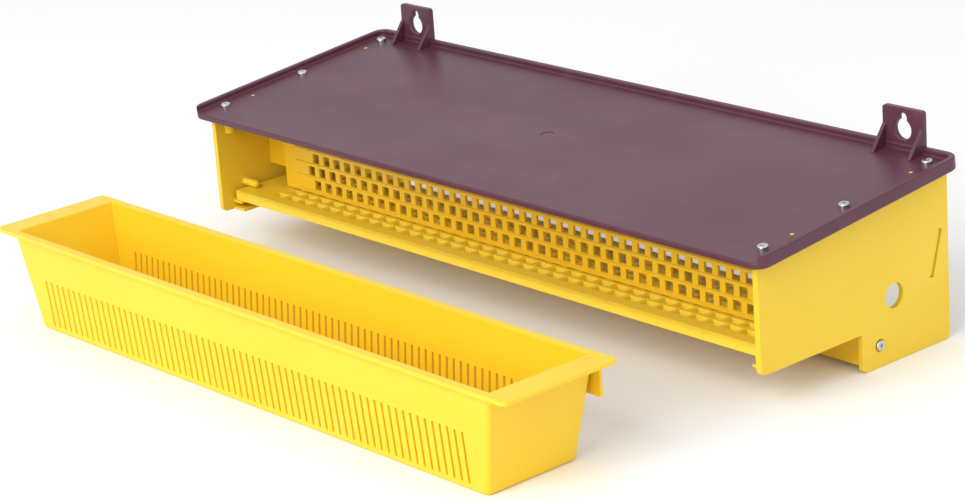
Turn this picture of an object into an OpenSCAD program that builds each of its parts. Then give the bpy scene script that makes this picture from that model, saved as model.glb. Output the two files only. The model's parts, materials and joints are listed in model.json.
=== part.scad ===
// Front-mounted pollen trap for a beehive, with its ventilated pollen tray.
// The trap hangs on the hive front by two keyhole lugs. Bees land on the floor grid and
// squeeze through the stripping panel; the pollen they lose drops through the grid into
// the tray, whose end flanges ride on the two rails at the foot of the side walls.
// Frame: +X along the width, +Y towards the hive, +Z up. The origin is on the table,
// under the middle of the set as it stands: the trap, and the tray drawn out before it.

/* [Roof] */
// Width of the roof across the hive front
roof_w = 410; // [340:1:500]
// Length of the roof plate along its slope
roof_len = 134; // [110:1:165]
// Slope of the roof, rising towards the hive, in degrees
roof_pitch = 5.7; // [2:0.1:9]
// Thickness of the roof plate
roof_t = 3.2; // [2.5:0.1:4]
// Height of the rim above the plate
rim_h = 3; // [2:0.1:5]
// Thickness of the rim
rim_t = 3; // [2:0.1:4]
// Corner radius of the roof
roof_r = 7; // [4:0.5:10]
// Diameter of the moulding gate mark in the middle of the roof
gate_d = 7; // [4:0.5:12]

/* [Hanging lugs] */
// Distance from the side edge of the roof to the middle of a lug
lug_inset = 32.5; // [26:0.5:60]
// Width of a lug
lug_w = 24; // [20:0.5:30]
// Height of a lug above the roof plate
lug_h = 20; // [19:0.1:26]
// Diameter of the round mouth that passes the screw head
keyhole_head_d = 10; // [8:0.1:11]
// Diameter of the narrow end that holds the screw shank
keyhole_neck_d = 5; // [4:0.1:6]
// Height of the middle of the mouth above the plate
keyhole_z = 9.7; // [8:0.1:11]
// Rise from the mouth to the narrow end
keyhole_rise = 5.5; // [4.5:0.1:6.5]
// Thickness of the gussets beside a lug
gusset_t = 2; // [1.5:0.1:3]
// Foot of a gusset along the plate
gusset_len = 9; // [6:0.5:14]
// Height of a gusset on the lug
gusset_h = 12; // [8:0.5:14]

/* [Side walls] */
// Height of the front lower edge of the roof above the table
body_h = 71; // [58:1:88]
// Thickness of a side wall
wall_t = 3; // [2.4:0.1:4]
// Overhang of the roof past a side wall
side_overhang = 8; // [5:0.5:12]
// Overhang of the roof past the front of a wall
front_overhang = 6; // [2:0.5:9]
// Distance from the back of the roof to the back edge of a wall
rear_set_back = 1.3; // [0.5:0.1:3]
// Depth of the rear foot of a wall
foot_d = 60; // [48:1:72]
// Radius of the lower wall corners
wall_r = 3; // [1:0.5:5]
// Diameter of the bee exit hole
exit_d = 12; // [8:0.5:16]
// Distance of the exit hole behind the front of the rear foot
exit_back = 22.4; // [16:0.1:26]
// Height of the middle of the exit hole
exit_z = 31.7; // [26:0.1:38]
// Width of the rail that carries the tray
rail_w = 9; // [6:0.5:10]
// Width of the ledge that carries the floor grid
ledge_w = 7; // [5:0.5:9]
// Thickness of the rail and of the ledge
ledge_t = 1.5; // [1.2:0.1:2]
// Diameter of the stub that holds the floor grid down
stub_d = 4; // [3:0.5:5]
// Length of that stub
stub_len = 11; // [8:0.5:14]

/* [Floor grid] */
// Height of the top of the floor grid above the table
floor_z = 30; // [28:0.5:34]
// Distance from the front of the roof to the grid lip
grid_front = 13; // [9:0.5:16]
// Height of the edge all round the grid
grid_edge_h = 5.4; // [4.5:0.1:6]
// Thickness of the bars
grid_t = 3; // [2:0.1:4]
// Width of the plain border at the right of the openings
grid_border = 9; // [7:0.5:14]
// Width of the plain border at the left, beside the bypass
grid_border_left = 23; // [7:0.5:30]
// Length of an opening, along the width of the trap
cell_w = 8.4; // [6:0.1:9]
// Depth of an opening
cell_d = 4.9; // [4:0.1:6]
// Distance between openings in a row
cell_pitch = 10.6; // [10:0.1:12]
// Distance between rows
cell_row = 6.9; // [6.6:0.1:8]

/* [Stripping panel] */
// Thickness of the panel
panel_t = 1.6; // [1:0.1:2.2]
// Distance from the front of the roof to the face of the panel
panel_y = 34; // [31:0.5:38]
// Open gap between the left wall and the end of the panel
panel_gap = 21; // [14:0.5:26]
// Side of a square bee hole
bee_hole = 5; // [4.5:0.1:5.4]
// Distance between bee holes in a row
bee_pitch = 8.65; // [8:0.05:11]
// Distance between rows of bee holes
bee_row = 7.3; // [6.8:0.1:8]
// Height of the middle of the lowest row above the floor
bee_first = 5; // [4:0.1:6]
// Plain margin above the top row
bee_top = 4; // [2:0.5:8]
// Plain margin at the ends of the panel
panel_margin = 20; // [14:0.5:26]
// Distance that a ridge stands out of the panel
ridge_t = 0.6; // [0.3:0.1:1]
// Height of a ridge
ridge_h = 0.7; // [0.5:0.1:1]

/* [Inner plates] */
// Thickness of the fixed inner plates
plate_t = 2; // [1.6:0.1:2.4]
// Distance of the bypass plate behind the face of the panel
bypass_back = 6; // [5:0.5:10]
// Height of the low passage under the bypass plate
passage_h = 8; // [6:0.5:12]
// Depth that the bypass plate is let into the left wall
bypass_seat = 1.2; // [0.6:0.1:1.6]
// Depth of the foot of the rear sill
sill_foot = 20; // [16:1:28]
// Clear height under the foot of the rear sill
sill_lift = 3; // [1:0.5:5]
// Distance of the middle of the baffle before the back of the walls
baffle_back = 8.8; // [7:0.1:14]
// Width of the slanted rear baffle
baffle_w = 22; // [16:0.5:26]
// Tilt of the baffle from upright, in degrees
baffle_tilt = 16.5; // [8:0.5:22]
// Height of the middle of the baffle
baffle_z = 44; // [40:0.5:48]

/* [Pollen tray] */
// Clearance between an end flange and a side wall
tray_play = 4; // [2:0.5:6]
// Clearance between the tray and the rear foot when the tray is home
tray_slack = 1; // [0.5:0.5:4]
// Height of the tray
tray_h = 50; // [38:0.5:60]
// Thickness of the tray wall
tub_t = 2; // [1.6:0.1:2.6]
// Thickness of the rim and flanges
flange_t = 1.8; // [1.4:0.1:2]
// Width of the end flanges
flange_end = 12.5; // [10:0.5:15]
// Width of the front and rear rims
flange_side = 2.5; // [1.5:0.5:3]
// Draft of the end walls, in over the height
end_draft = 10; // [4:0.5:14]
// Draft of the front and rear walls
side_draft = 4.2; // [2:0.1:6]
// Length of the skirt that hangs from the rear rim
skirt_h = 20; // [12:0.5:26]
// Thickness of the skirt
skirt_t = 1.6; // [1.2:0.1:2]
// Clear distance from the tray to the front of the roof
tray_gap = 71.5; // [50:0.5:120]
// Distance between the air slits
slit_pitch = 4.81; // [4:0.01:6]
// Width of an air slit
slit_w = 1.3; // [0.8:0.1:2]
// Height of the top of the air slits above the table
slit_top = 27.5; // [20:0.5:32]
// Diameter of the round moulding mark on the right flange
mark_d = 8; // [5:0.5:9]

/* [Screws] */
// Shank diameter of the self-tapping screws
screw_d = 3; // [2.5:0.1:3.5]
// Head diameter
screw_head_d = 5.2; // [4.8:0.1:6.6]
// Head height
screw_head_h = 2; // [1.6:0.1:2.4]
// Length under the head
screw_len = 11; // [8:0.5:13]
// Diameter of the bosses and of the locating pegs' shoulders
boss_d = 6.4; // [6:0.1:7]
// Diameter of the locating pegs
peg_d = 2; // [1.6:0.1:3]
// Distance of a side screw behind the front of the rear foot
side_screw_back = 11.6; // [9:0.1:16]
// Height of a side screw above the table
side_screw_z = 10.7; // [9:0.1:16]

/* [Hidden] */
$fn = 48;

YELLOW = [0.95, 0.77, 0.16];
AMBER = [0.90, 0.68, 0.10];
MAROON = [0.42, 0.29, 0.32];
STEEL = [0.75, 0.76, 0.78];

eps = 0.01;
fit = 0.2;                                    // gap round a piece that slides
bore_gap = 0.05;                              // gap round a screw or a locating peg
lift_gap = 0.3;                               // gap above and below the panel
guide_gap = 0.3;                              // gap between the panel and its guide ribs
flange_play = 0.6;                            // play of a tray flange between rail and ledge
side_gap = 3;                                 // gap between a wall and the floor grid
cut = 1;                                      // distance that a cut runs past a face
mark_deep = 0.25;                             // depth of the moulding marks

roof_depth = roof_len * cos(roof_pitch);
wall_back = roof_depth - rear_set_back;
step_y = wall_back - foot_d;                  // front of the rear foot
tray_d = step_y - front_overhang - tray_slack;
tray_reach = tray_gap + tray_d;
front_y = (tray_reach - roof_depth) / 2;      // front edge of the roof in the whole frame
tray_y = front_y - tray_reach;                // front edge of the tray

wall_x = roof_w / 2 - side_overhang;          // outer face of a wall
inner_x = wall_x - wall_t;                    // inner face of a wall
boss_x = wall_x - boss_d / 2 - 0.15;          // row of screws, with the bosses inside the wall
boss_in = boss_x - boss_d / 2;                // innermost reach of the bosses
screw_s = [14.3, roof_len / 2, roof_len - 10.5];
peg_s = [32.8, roof_len - 22];
screw_hole_d = screw_d + 2 * bore_gap;
peg_hole_d = peg_d + 2 * bore_gap;

sill_y = step_y + 1.5;                        // front face of the rear sill
sill_end = inner_x - 0.1;
screw_y = step_y + side_screw_back;
side_boss_l = screw_len + 4;
recess_d = screw_head_d + 1;
recess_h = 1;
baffle_y = wall_back - baffle_back;
bypass_y = panel_y + bypass_back;

ledge_top = floor_z - grid_edge_h - fit;
rail_top = ledge_top - ledge_t - flange_t - flange_play;
bay_h = rail_top - ledge_t;                   // underside of the front part of a wall
stub_y = grid_front + 9;
stub_z = floor_z + lift_gap + stub_d / 2;
grid_l = 2 * (inner_x - side_gap);
grid_d = sill_y - fit - grid_front;
grid_rim = 6;                                 // solid rim at the ends of the grid
grid_lip = 2.5;                               // solid rim at the front and back of the grid
groove_d = 1.6;                               // groove in the front lip
groove_edge = 2;                              // material above and below that groove

panel_x0 = -inner_x + panel_gap;
panel_l = boss_in - 0.5 - panel_x0;
panel_bottom = floor_z + lift_gap;
guide_t = 1.5;                                // guide ribs of the panel
guide_h = 4;
guide_w = 7;                                  // reach of the ribs on the right wall
guide_ys = [panel_y - guide_gap - guide_t, panel_y + panel_t + guide_gap];

tray_l = 2 * (inner_x - tray_play);
tub_l = tray_l - 2 * flange_end;
tub_d = tray_d - 2 * flange_side;
tray_r = 5;                                   // corner radius of the flanges
slit_margin = 10;                             // plain wall beyond the first and last slit
slits = floor((tub_l - 2 * end_draft - 2 * slit_margin) / slit_pitch) + 1;
slit_z = tub_t + 1;

// Height of the underside of the roof at a distance y behind its front edge
function roof_at(y) = body_h + y * tan(roof_pitch);

// Places children in the frame of the trap, whose y runs back from the roof's front edge
module in_trap()
{
    translate([0, front_y, 0])
        children();
}

// Places children on the underside of the sloping roof: x, distance up the slope, height
module on_roof(x, s, h)
{
    translate([0, 0, body_h])
        rotate([roof_pitch, 0, 0])
            translate([x, s, h])
                children();
}

// Box given by its two opposite corners
module span(a, b)
{
    translate(a)
        cube(b - a);
}

// Rectangle with its origin at the middle of the front edge and round corners
module round_plate(w, d, r)
{
    union()
    {
        translate([-w / 2 + r, 0])
            square([w - 2 * r, d]);
        translate([-w / 2, r])
            square([w, d - 2 * r]);
        for (x = [-w / 2 + r, w / 2 - r])
            for (y = [r, d - r])
                translate([x, y])
                    circle(r = r);
    }
}

// Pan head screw standing on z = 0, shank down, with a cross recess
module pan_screw()
{
    difference()
    {
        union()
        {
            cylinder(d = screw_head_d, h = screw_head_h * 0.45);
            translate([0, 0, screw_head_h * 0.45])
                cylinder(d1 = screw_head_d, d2 = screw_head_d * 0.55, h = screw_head_h * 0.55);
            translate([0, 0, -screw_len])
                cylinder(d = screw_d, h = screw_len + eps);
        }
        for (a = [0, 90])
            rotate([0, 0, a])
                translate([-screw_head_d * 0.25, -0.4, screw_head_h * 0.45])
                    cube([screw_head_d * 0.5, 0.8, screw_head_h]);
    }
}

// Keyhole profile: a round mouth below and a narrow end above
module keyhole()
{
    circle(d = keyhole_head_d);
    translate([0, keyhole_rise])
        circle(d = keyhole_neck_d);
    translate([-keyhole_neck_d / 2, 0])
        square([keyhole_neck_d, keyhole_rise]);
}

// Height of the top of the roof plate at a distance y behind its front edge
function plate_at(y) = roof_at(y) + roof_t / cos(roof_pitch);

// Upright hanging lug with two gussets, flush with the back edge of the roof
module lug()
{
    front = roof_depth - rim_t;
    base = plate_at(front);
    difference()
    {
        translate([-lug_w / 2, front, roof_at(roof_depth)])
            cube([lug_w, rim_t, base + lug_h - roof_at(roof_depth)]);
        translate([0, roof_depth + cut, base + keyhole_z])
            rotate([90, 0, 0])
                linear_extrude(height = rim_t + 2 * cut)
                    keyhole();
    }
    for (x = [-lug_w / 2, lug_w / 2 - gusset_t])
        translate([x, 0, 0])
            rotate([90, 0, 90])
                linear_extrude(height = gusset_t)
                    polygon([[front + eps, base - roof_t / 2], [front + eps, base + gusset_h],
                             [front - gusset_len, plate_at(front - gusset_len)],
                             [front - gusset_len, base - roof_t]]);
}

// Rib under the roof that keeps the top of the panel in line
module panel_guide(y)
{
    half = boss_in - 1;
    translate([-half, 0, 0])
        rotate([90, 0, 90])
            linear_extrude(height = 2 * half)
                polygon([[y, roof_at(y) - guide_h], [y + guide_t, roof_at(y) - guide_h],
                         [y + guide_t, roof_at(y + guide_t) + 1], [y, roof_at(y) + 1]]);
}

// Screw and peg holes through the roof plate
module roof_holes()
{
    for (x = [-boss_x, boss_x])
    {
        for (s = screw_s)
            translate([x, s, -cut])
                cylinder(d = screw_hole_d, h = roof_t + 2 * cut);
        for (s = peg_s)
            translate([x, s, -cut])
                cylinder(d = peg_hole_d, h = roof_t + 2 * cut);
    }
}

// Roof plate with a raised rim on three sides, two lugs and the panel's top guides
module roof()
{
    color(MAROON) in_trap()
    {
        on_roof(0, 0, 0)
            difference()
            {
                union()
                {
                    linear_extrude(height = roof_t)
                        round_plate(roof_w, roof_len, roof_r);
                    linear_extrude(height = roof_t + rim_h)
                        difference()
                        {
                            round_plate(roof_w, roof_len, roof_r);
                            translate([-roof_w / 2 + rim_t, -cut])
                                square([roof_w - 2 * rim_t, roof_len - rim_t + cut]);
                        }
                }
                roof_holes();
                translate([0, roof_len / 2, roof_t - mark_deep])
                    cylinder(d = gate_d, h = cut);
            }
        for (x = [-1, 1])
            translate([x * (roof_w / 2 - lug_inset), 0, 0])
                lug();
        for (y = guide_ys)
            panel_guide(y);
    }
}

// Side profile of a wall, x to the back and y up, with its lower corners rounded
module wall_profile()
{
    union()
    {
        polygon([[front_overhang, bay_h + wall_r], [wall_back, bay_h + wall_r],
                 [wall_back, roof_at(wall_back)], [front_overhang, roof_at(front_overhang)]]);
        translate([front_overhang + wall_r, bay_h])
            square([wall_back - front_overhang - wall_r, wall_r + eps]);
        translate([front_overhang + wall_r, bay_h + wall_r])
            circle(r = wall_r);
        translate([step_y, wall_r])
            square([wall_back - step_y, bay_h]);
        translate([step_y + wall_r, 0])
            square([wall_back - step_y - 2 * wall_r, wall_r + eps]);
        for (y = [step_y + wall_r, wall_back - wall_r])
            translate([y, wall_r])
                circle(r = wall_r);
    }
}

// Outline of the slanted baffle, as a box through both walls
module baffle_bar(length, gap)
{
    translate([0, baffle_y, baffle_z])
        rotate([-baffle_tilt, 0, 0])
            cube([length, plate_t + 2 * gap, baffle_w + 2 * gap], center = true);
}

// Round cut from the outer face of a wall inwards
module side_hole(y, z, d, depth)
{
    translate([wall_x + cut, y, z])
        rotate([0, -90, 0])
            cylinder(d = d, h = depth + cut);
}

// Right wall; the left one is its mirror image, with the bypass groove instead of the guide
module side_wall(with_guide)
{
    difference()
    {
        union()
        {
            translate([inner_x, 0, 0])
                rotate([90, 0, 90])
                    linear_extrude(height = wall_t)
                        wall_profile();
            for (s = screw_s)
                on_roof(boss_x, s, -screw_len)
                    cylinder(d = boss_d, h = screw_len);
            for (s = peg_s)
            {
                on_roof(boss_x, s, -screw_len / 2)
                    cylinder(d = boss_d, h = screw_len / 2);
                on_roof(boss_x, s, -eps)
                    cylinder(d = peg_d, h = roof_t + eps);
            }
            span([inner_x - ledge_w, grid_front, ledge_top - ledge_t],
                 [inner_x + eps, sill_y - fit, ledge_top]);
            span([inner_x - rail_w, grid_front, bay_h],
                 [inner_x + eps, step_y, rail_top]);
            translate([inner_x + eps, stub_y, stub_z])
                rotate([0, -90, 0])
                    cylinder(d = stub_d, h = stub_len - stub_d / 2);
            translate([inner_x + eps - stub_len + stub_d / 2, stub_y, stub_z])
                sphere(d = stub_d);
            if (with_guide)
                for (y = guide_ys)
                    span([inner_x - guide_w, y, floor_z + 1],
                         [inner_x + eps, y + guide_t, roof_at(y) - guide_h - fit]);
        }
        for (s = screw_s)
            on_roof(boss_x, s, -screw_len - cut)
                cylinder(d = screw_hole_d, h = screw_len + 2 * cut);
        side_hole(step_y + exit_back, exit_z, exit_d, wall_t + cut);
        side_hole(screw_y, side_screw_z, screw_hole_d, wall_t + cut);
        side_hole(screw_y, side_screw_z, recess_d, recess_h);
        translate([wall_x - wall_t / 2, 0, 0])
            baffle_bar(wall_t + 2 * cut, bore_gap);
        if (!with_guide)
            span([inner_x - cut, bypass_y - bore_gap, floor_z + passage_h - bore_gap],
                 [inner_x + bypass_seat + bore_gap, bypass_y + plate_t + bore_gap,
                  roof_at(wall_back)]);
    }
}

module side_wall_right()
{
    color(YELLOW) in_trap()
        side_wall(true);
}

module side_wall_left()
{
    color(YELLOW) in_trap()
        mirror([1, 0, 0])
            side_wall(false);
}

module roof_screws(x)
{
    color(STEEL) in_trap()
        for (s = screw_s)
            on_roof(x, s, roof_t)
                pan_screw();
}

module side_screws()
{
    color(STEEL) in_trap()
        for (side = [-1, 1])
            translate([side * (wall_x - recess_h), screw_y, side_screw_z])
                rotate([0, side * 90, 0])
                    pan_screw();
}

// Rows of openings, each row shifted by half a pitch from the last
module grid_cells()
{
    free_w = grid_l - grid_border - grid_border_left;
    rows = floor((grid_d - 4 * grid_lip - cell_d) / cell_row) + 1;
    first = (grid_d - (rows - 1) * cell_row - cell_d) / 2;
    for (r = [0 : rows - 1])
    {
        shift = r % 2 == 0 ? 0 : cell_pitch / 2;
        count = floor((free_w - shift - cell_w) / cell_pitch) + 1;
        for (i = [0 : count - 1])
            translate([-grid_l / 2 + grid_border_left + shift + i * cell_pitch, first + r * cell_row])
                square([cell_w, cell_d]);
    }
}

// Floor grid: a slotted plate with a deeper edge all round and a hollow front lip
module floor_grid()
{
    color(YELLOW) in_trap()
        translate([0, grid_front, 0])
            difference()
            {
                translate([-grid_l / 2, 0, floor_z - grid_edge_h])
                    cube([grid_l, grid_d, grid_edge_h]);
                translate([-grid_l / 2 + grid_rim, grid_lip, floor_z - grid_edge_h - cut])
                    cube([grid_l - 2 * grid_rim, grid_d - 2 * grid_lip, grid_edge_h - grid_t + cut]);
                translate([-grid_l / 2 - cut, -cut, floor_z - grid_edge_h + groove_edge])
                    cube([grid_l + 2 * cut, groove_d + cut, grid_edge_h - 2 * groove_edge]);
                translate([0, 0, floor_z - grid_t - cut])
                    linear_extrude(height = grid_t + 2 * cut)
                        grid_cells();
            }
}

// Square bee holes in rows, staggered by half a pitch
module bee_holes(rows)
{
    for (r = [0 : rows - 1])
    {
        shift = r % 2 == 0 ? bee_pitch / 2 : 0;
        count = floor((panel_l - 2 * panel_margin - shift - bee_hole) / bee_pitch) + 1;
        for (i = [0 : count - 1])
            translate([panel_margin + shift + i * bee_pitch,
                       bee_first + r * bee_row - bee_hole / 2])
                square(bee_hole);
    }
}

// Stripping panel: a thin plate of square holes with a low ridge under each row
module stripping_panel()
{
    panel_h = roof_at(panel_y) - lift_gap - panel_bottom;
    rows = floor((panel_h - bee_first - bee_hole / 2 - bee_top) / bee_row) + 1;
    color(AMBER) in_trap()
        translate([panel_x0, panel_y + panel_t, panel_bottom])
            rotate([90, 0, 0])
            {
                linear_extrude(height = panel_t)
                    difference()
                    {
                        square([panel_l, panel_h]);
                        bee_holes(rows);
                    }
                for (r = [0 : rows - 1])
                    translate([panel_margin / 2,
                               bee_first + r * bee_row - bee_hole / 2 - ridge_h - 0.4, eps])
                        cube([panel_l - panel_margin, ridge_h, panel_t + ridge_t - eps]);
            }
}

// Short plate that closes the top of the gap beside the panel and leaves a low passage
module bypass_plate()
{
    left = -inner_x - bypass_seat;
    color(AMBER) in_trap()
        translate([left, 0, 0])
            rotate([90, 0, 90])
                linear_extrude(height = panel_x0 + 5 - left)
                    polygon([[bypass_y, floor_z + passage_h],
                             [bypass_y + plate_t, floor_z + passage_h],
                             [bypass_y + plate_t, roof_at(bypass_y + plate_t)],
                             [bypass_y, roof_at(bypass_y)]]);
}

// Sill that closes the rear chamber below the floor, with a foot and two screw bosses
module rear_sill()
{
    color(AMBER) in_trap()
        difference()
        {
            union()
            {
                span([-sill_end, sill_y, sill_lift], [sill_end, sill_y + plate_t, floor_z]);
                span([-sill_end, sill_y, sill_lift],
                     [sill_end, sill_y + sill_foot, sill_lift + plate_t]);
                for (side = [-1, 1])
                {
                    translate([side * (sill_end - side_boss_l / 2), screw_y, side_screw_z])
                        rotate([0, 90, 0])
                            cylinder(d = boss_d + 1, h = side_boss_l, center = true);
                    translate([side * (sill_end - side_boss_l / 2) - side_boss_l / 2,
                               screw_y - 1.5, sill_lift])
                        cube([side_boss_l, 3, side_screw_z - sill_lift]);
                }
            }
            for (side = [-1, 1])
                translate([side * inner_x, screw_y, side_screw_z])
                    rotate([0, 90, 0])
                        cylinder(d = screw_hole_d, h = 2 * side_boss_l + cut, center = true);
        }
}

// Slanted baffle near the hive; its ends pass through slots in both walls
module rear_baffle()
{
    color(YELLOW) in_trap()
        baffle_bar(2 * wall_x, 0);
}

// Tub that narrows towards its bottom: top length and depth, bottom and top heights
module tub(l, d, z0, draft_x, draft_y)
{
    intersection()
    {
        translate([0, tray_d / 2 + d / 2, 0])
            rotate([90, 0, 0])
                linear_extrude(height = d)
                    polygon([[-l / 2, tray_h], [l / 2, tray_h],
                             [l / 2 - draft_x, z0], [-l / 2 + draft_x, z0]]);
        translate([-l / 2, 0, 0])
            rotate([90, 0, 90])
                linear_extrude(height = l)
                    polygon([[tray_d / 2 - d / 2, tray_h], [tray_d / 2 + d / 2, tray_h],
                             [tray_d / 2 + d / 2 - draft_y, z0], [tray_d / 2 - d / 2 + draft_y, z0]]);
    }
}

// One row of upright air slits through a wall whose outer face lies near y
module slit_row(y, depth)
{
    for (i = [0 : slits - 1])
        translate([(i - (slits - 1) / 2) * slit_pitch - slit_w / 2, y, slit_z])
            cube([slit_w, depth, slit_top - slit_z]);
}

// Pollen tray: tapered tub, flat flanges, a rear skirt and air slits front and back
module pollen_tray()
{
    deep = (tray_h - tub_t) / tray_h;
    slit_cut = flange_side + side_draft + tub_t + cut;
    color(YELLOW)
        translate([0, tray_y, 0])
            difference()
            {
                union()
                {
                    tub(tub_l, tub_d, 0, end_draft, side_draft);
                    translate([0, 0, tray_h - flange_t])
                        linear_extrude(height = flange_t)
                            round_plate(tray_l, tray_d, tray_r);
                    span([-tub_l / 2 - skirt_t, tray_d - skirt_t, tray_h - skirt_h],
                         [tub_l / 2 + skirt_t, tray_d, tray_h - flange_t + eps]);
                }
                tub(tub_l - 2 * tub_t, tub_d - 2 * tub_t, tub_t, end_draft * deep, side_draft * deep);
                span([-tub_l / 2 + tub_t, flange_side + tub_t, tray_h - eps],
                     [tub_l / 2 - tub_t, tray_d - flange_side - tub_t, tray_h + cut]);
                translate([tray_l / 2 - 7.5, tray_d - 7.5, tray_h - mark_deep])
                    cylinder(d = mark_d, h = cut);
                slit_row(0, slit_cut);
                slit_row(tray_d - skirt_t - slit_cut, slit_cut);
            }
}

roof();
side_wall_left();
side_wall_right();
roof_screws(-boss_x);  // roof_screws_left
roof_screws(boss_x);  // roof_screws_right
side_screws();
floor_grid();
stripping_panel();
bypass_plate();
rear_sill();
rear_baffle();
pollen_tray();
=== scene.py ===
"""Looks of a front-mounted pollen trap and its tray: moulded plastic pieces and zinc plated screws."""

import json
import math

import bmesh
import bpy
from bpy.props import FloatProperty, FloatVectorProperty, IntProperty, PointerProperty
from mathutils import Matrix, Vector


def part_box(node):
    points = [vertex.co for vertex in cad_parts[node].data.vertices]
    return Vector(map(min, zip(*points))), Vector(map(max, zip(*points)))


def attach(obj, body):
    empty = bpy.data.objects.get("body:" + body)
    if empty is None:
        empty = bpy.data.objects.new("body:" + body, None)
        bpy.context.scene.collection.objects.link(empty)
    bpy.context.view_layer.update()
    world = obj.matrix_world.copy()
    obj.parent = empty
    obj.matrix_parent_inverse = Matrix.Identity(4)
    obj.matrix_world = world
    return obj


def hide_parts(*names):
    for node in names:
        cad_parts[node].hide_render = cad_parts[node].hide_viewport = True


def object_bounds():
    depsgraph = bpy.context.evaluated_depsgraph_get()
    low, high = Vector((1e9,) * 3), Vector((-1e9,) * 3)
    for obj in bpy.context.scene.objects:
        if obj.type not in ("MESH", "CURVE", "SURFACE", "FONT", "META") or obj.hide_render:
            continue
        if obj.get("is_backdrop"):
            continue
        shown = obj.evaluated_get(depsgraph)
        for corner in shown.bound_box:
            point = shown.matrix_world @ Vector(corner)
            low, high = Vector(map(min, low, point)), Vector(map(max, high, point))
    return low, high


bl_info = {
    "name": "Pollen trap",
    "version": (1, 0, 0),
    "blender": (4, 5, 0),
    "location": "View3D > Sidebar > Pollen trap",
    "description": "Builds the moulded pieces, screws and finishes of a hive-front pollen trap",
    "category": "Object",
}

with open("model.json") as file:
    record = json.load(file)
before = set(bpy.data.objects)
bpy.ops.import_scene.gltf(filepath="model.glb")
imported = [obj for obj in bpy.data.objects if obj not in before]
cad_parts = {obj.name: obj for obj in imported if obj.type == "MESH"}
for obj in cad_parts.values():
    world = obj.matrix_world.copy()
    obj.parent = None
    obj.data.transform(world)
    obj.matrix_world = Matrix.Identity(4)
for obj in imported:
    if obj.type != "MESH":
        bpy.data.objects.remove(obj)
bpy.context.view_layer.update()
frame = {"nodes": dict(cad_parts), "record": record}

MM = 0.001
BODIES = frame["record"]["behaviour"]["bodies"]
BODY_OF = {node: body for body, nodes in BODIES.items() for node in nodes}
X, Y, Z = Vector((1, 0, 0)), Vector((0, 1, 0)), Vector((0, 0, 1))

WELD = 0.001 * MM  # points nearer than this are one
EXACT = 0.01 * MM  # how near a corner or a face is to the place it is looked for at
NEAR = 0.1 * MM  # the same, for edges that lie apart from the rest
SUNK = 0.5 * MM  # how far a part reaches into the one that it is joined to
CLEAR = 0.05 * MM  # gap round a peg, and between the feet and the stage
BORE_R = 1.55 * MM  # radius of the bore for a screw's shank
FACING = 0.9  # a face looks along an axis if this much of its normal does


# ---------------------------------------------------------------- sizes and colours


def millimetres(name, description, value):
    """A length, given in millimetres."""
    return FloatProperty(name=name, description=description, default=value * MM, unit="LENGTH")


def degrees(name, description, value):
    """An angle, given in degrees."""
    return FloatProperty(
        name=name, description=description, default=math.radians(value), subtype="ANGLE"
    )


def tint(name, description, value):
    """A colour."""
    return FloatVectorProperty(
        name=name, description=description, default=value, subtype="COLOR", min=0, max=1
    )


class TrapRounding(bpy.types.PropertyGroup):
    """Radii of the moulded edges."""

    roof: millimetres("Roof edges", "Rounding of the roof and its rim", 0.7)
    lug: millimetres("Lug edges", "Rounding of the lugs and gussets", 0.35)
    wall: millimetres("Wall edges", "Rounding of the side walls", 0.35)
    floor: millimetres("Floor edges", "Rounding of the slotted floor", 0.3)
    panel: millimetres("Panel edges", "Rounding of the bee holes", 0.15)
    plate: millimetres("Plate edges", "Rounding of the inner plates", 0.3)
    tray: millimetres("Tray edges", "Rounding of the tray's rims and slits", 0.3)
    tray_corner: millimetres("Tray corners", "Radius of the tray's upright corners", 2.4)
    tray_foot: millimetres("Tray foot", "Radius round the bottom of the tray", 1.4)
    steps: IntProperty(name="Steps", description="Faces across a rounded edge", default=2, min=1, max=6)


class TrapRoof(bpy.types.PropertyGroup):
    """Roof plate, rim, lugs and gussets."""

    pitch: degrees("Pitch", "Rise of the roof towards the hive", 5.7)
    height: millimetres("Front height", "Height of the front lower edge", 71)
    length: millimetres("Length", "Length along the slope", 134)
    plate: millimetres("Plate", "Thickness of the plate", 3.2)
    rim_t: millimetres("Rim", "Thickness of the rim", 3)
    rim_h: millimetres("Rim height", "Above the plate", 3)
    corner: millimetres("Corner", "Corner radius", 7)
    inner_corner: millimetres("Inner corner", "Corner radius inside the rim", 4)
    gate_d: millimetres("Gate mark", "Diameter of the gate mark", 7)
    gate_deep: millimetres("Gate mark depth", "Depth of the gate mark", 0.25)
    lug_inset: millimetres("Lug inset", "Side edge to the middle of a lug", 32.5)
    lug_w: millimetres("Lug width", "Width of a lug", 24)
    lug_h: millimetres("Lug height", "Above the plate", 20)
    lug_corner: millimetres("Lug corner", "Radius of a lug's upper corners", 1.6)
    mouth_d: millimetres("Mouth", "Keyhole's round mouth", 10)
    neck_d: millimetres("Neck", "Keyhole's narrow end", 5)
    mouth_z: millimetres("Mouth height", "Middle of the mouth above the plate", 9.7)
    rise: millimetres("Keyhole rise", "From mouth to neck", 5.5)
    gusset_t: millimetres("Gusset", "Thickness of a gusset", 2)
    gusset_len: millimetres("Gusset foot", "Along the plate", 9)
    gusset_h: millimetres("Gusset height", "On the lug", 12)
    gusset_toe: millimetres("Gusset toe", "Height of its low end", 0.4)
    peg_front: millimetres("Front peg", "Front edge to the front peg", 32.8)
    peg_back: millimetres("Rear peg", "Rear edge to the rear peg", 22)
    peg_d: millimetres("Peg", "Diameter of a peg", 2)
    guide_t: millimetres("Guide", "Thickness of a guide rib", 1.5)
    guide_h: millimetres("Guide height", "Reach of a guide rib", 4)
    guide_gap: millimetres("Guide gap", "Gap between a rib and the panel", 0.3)


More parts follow.
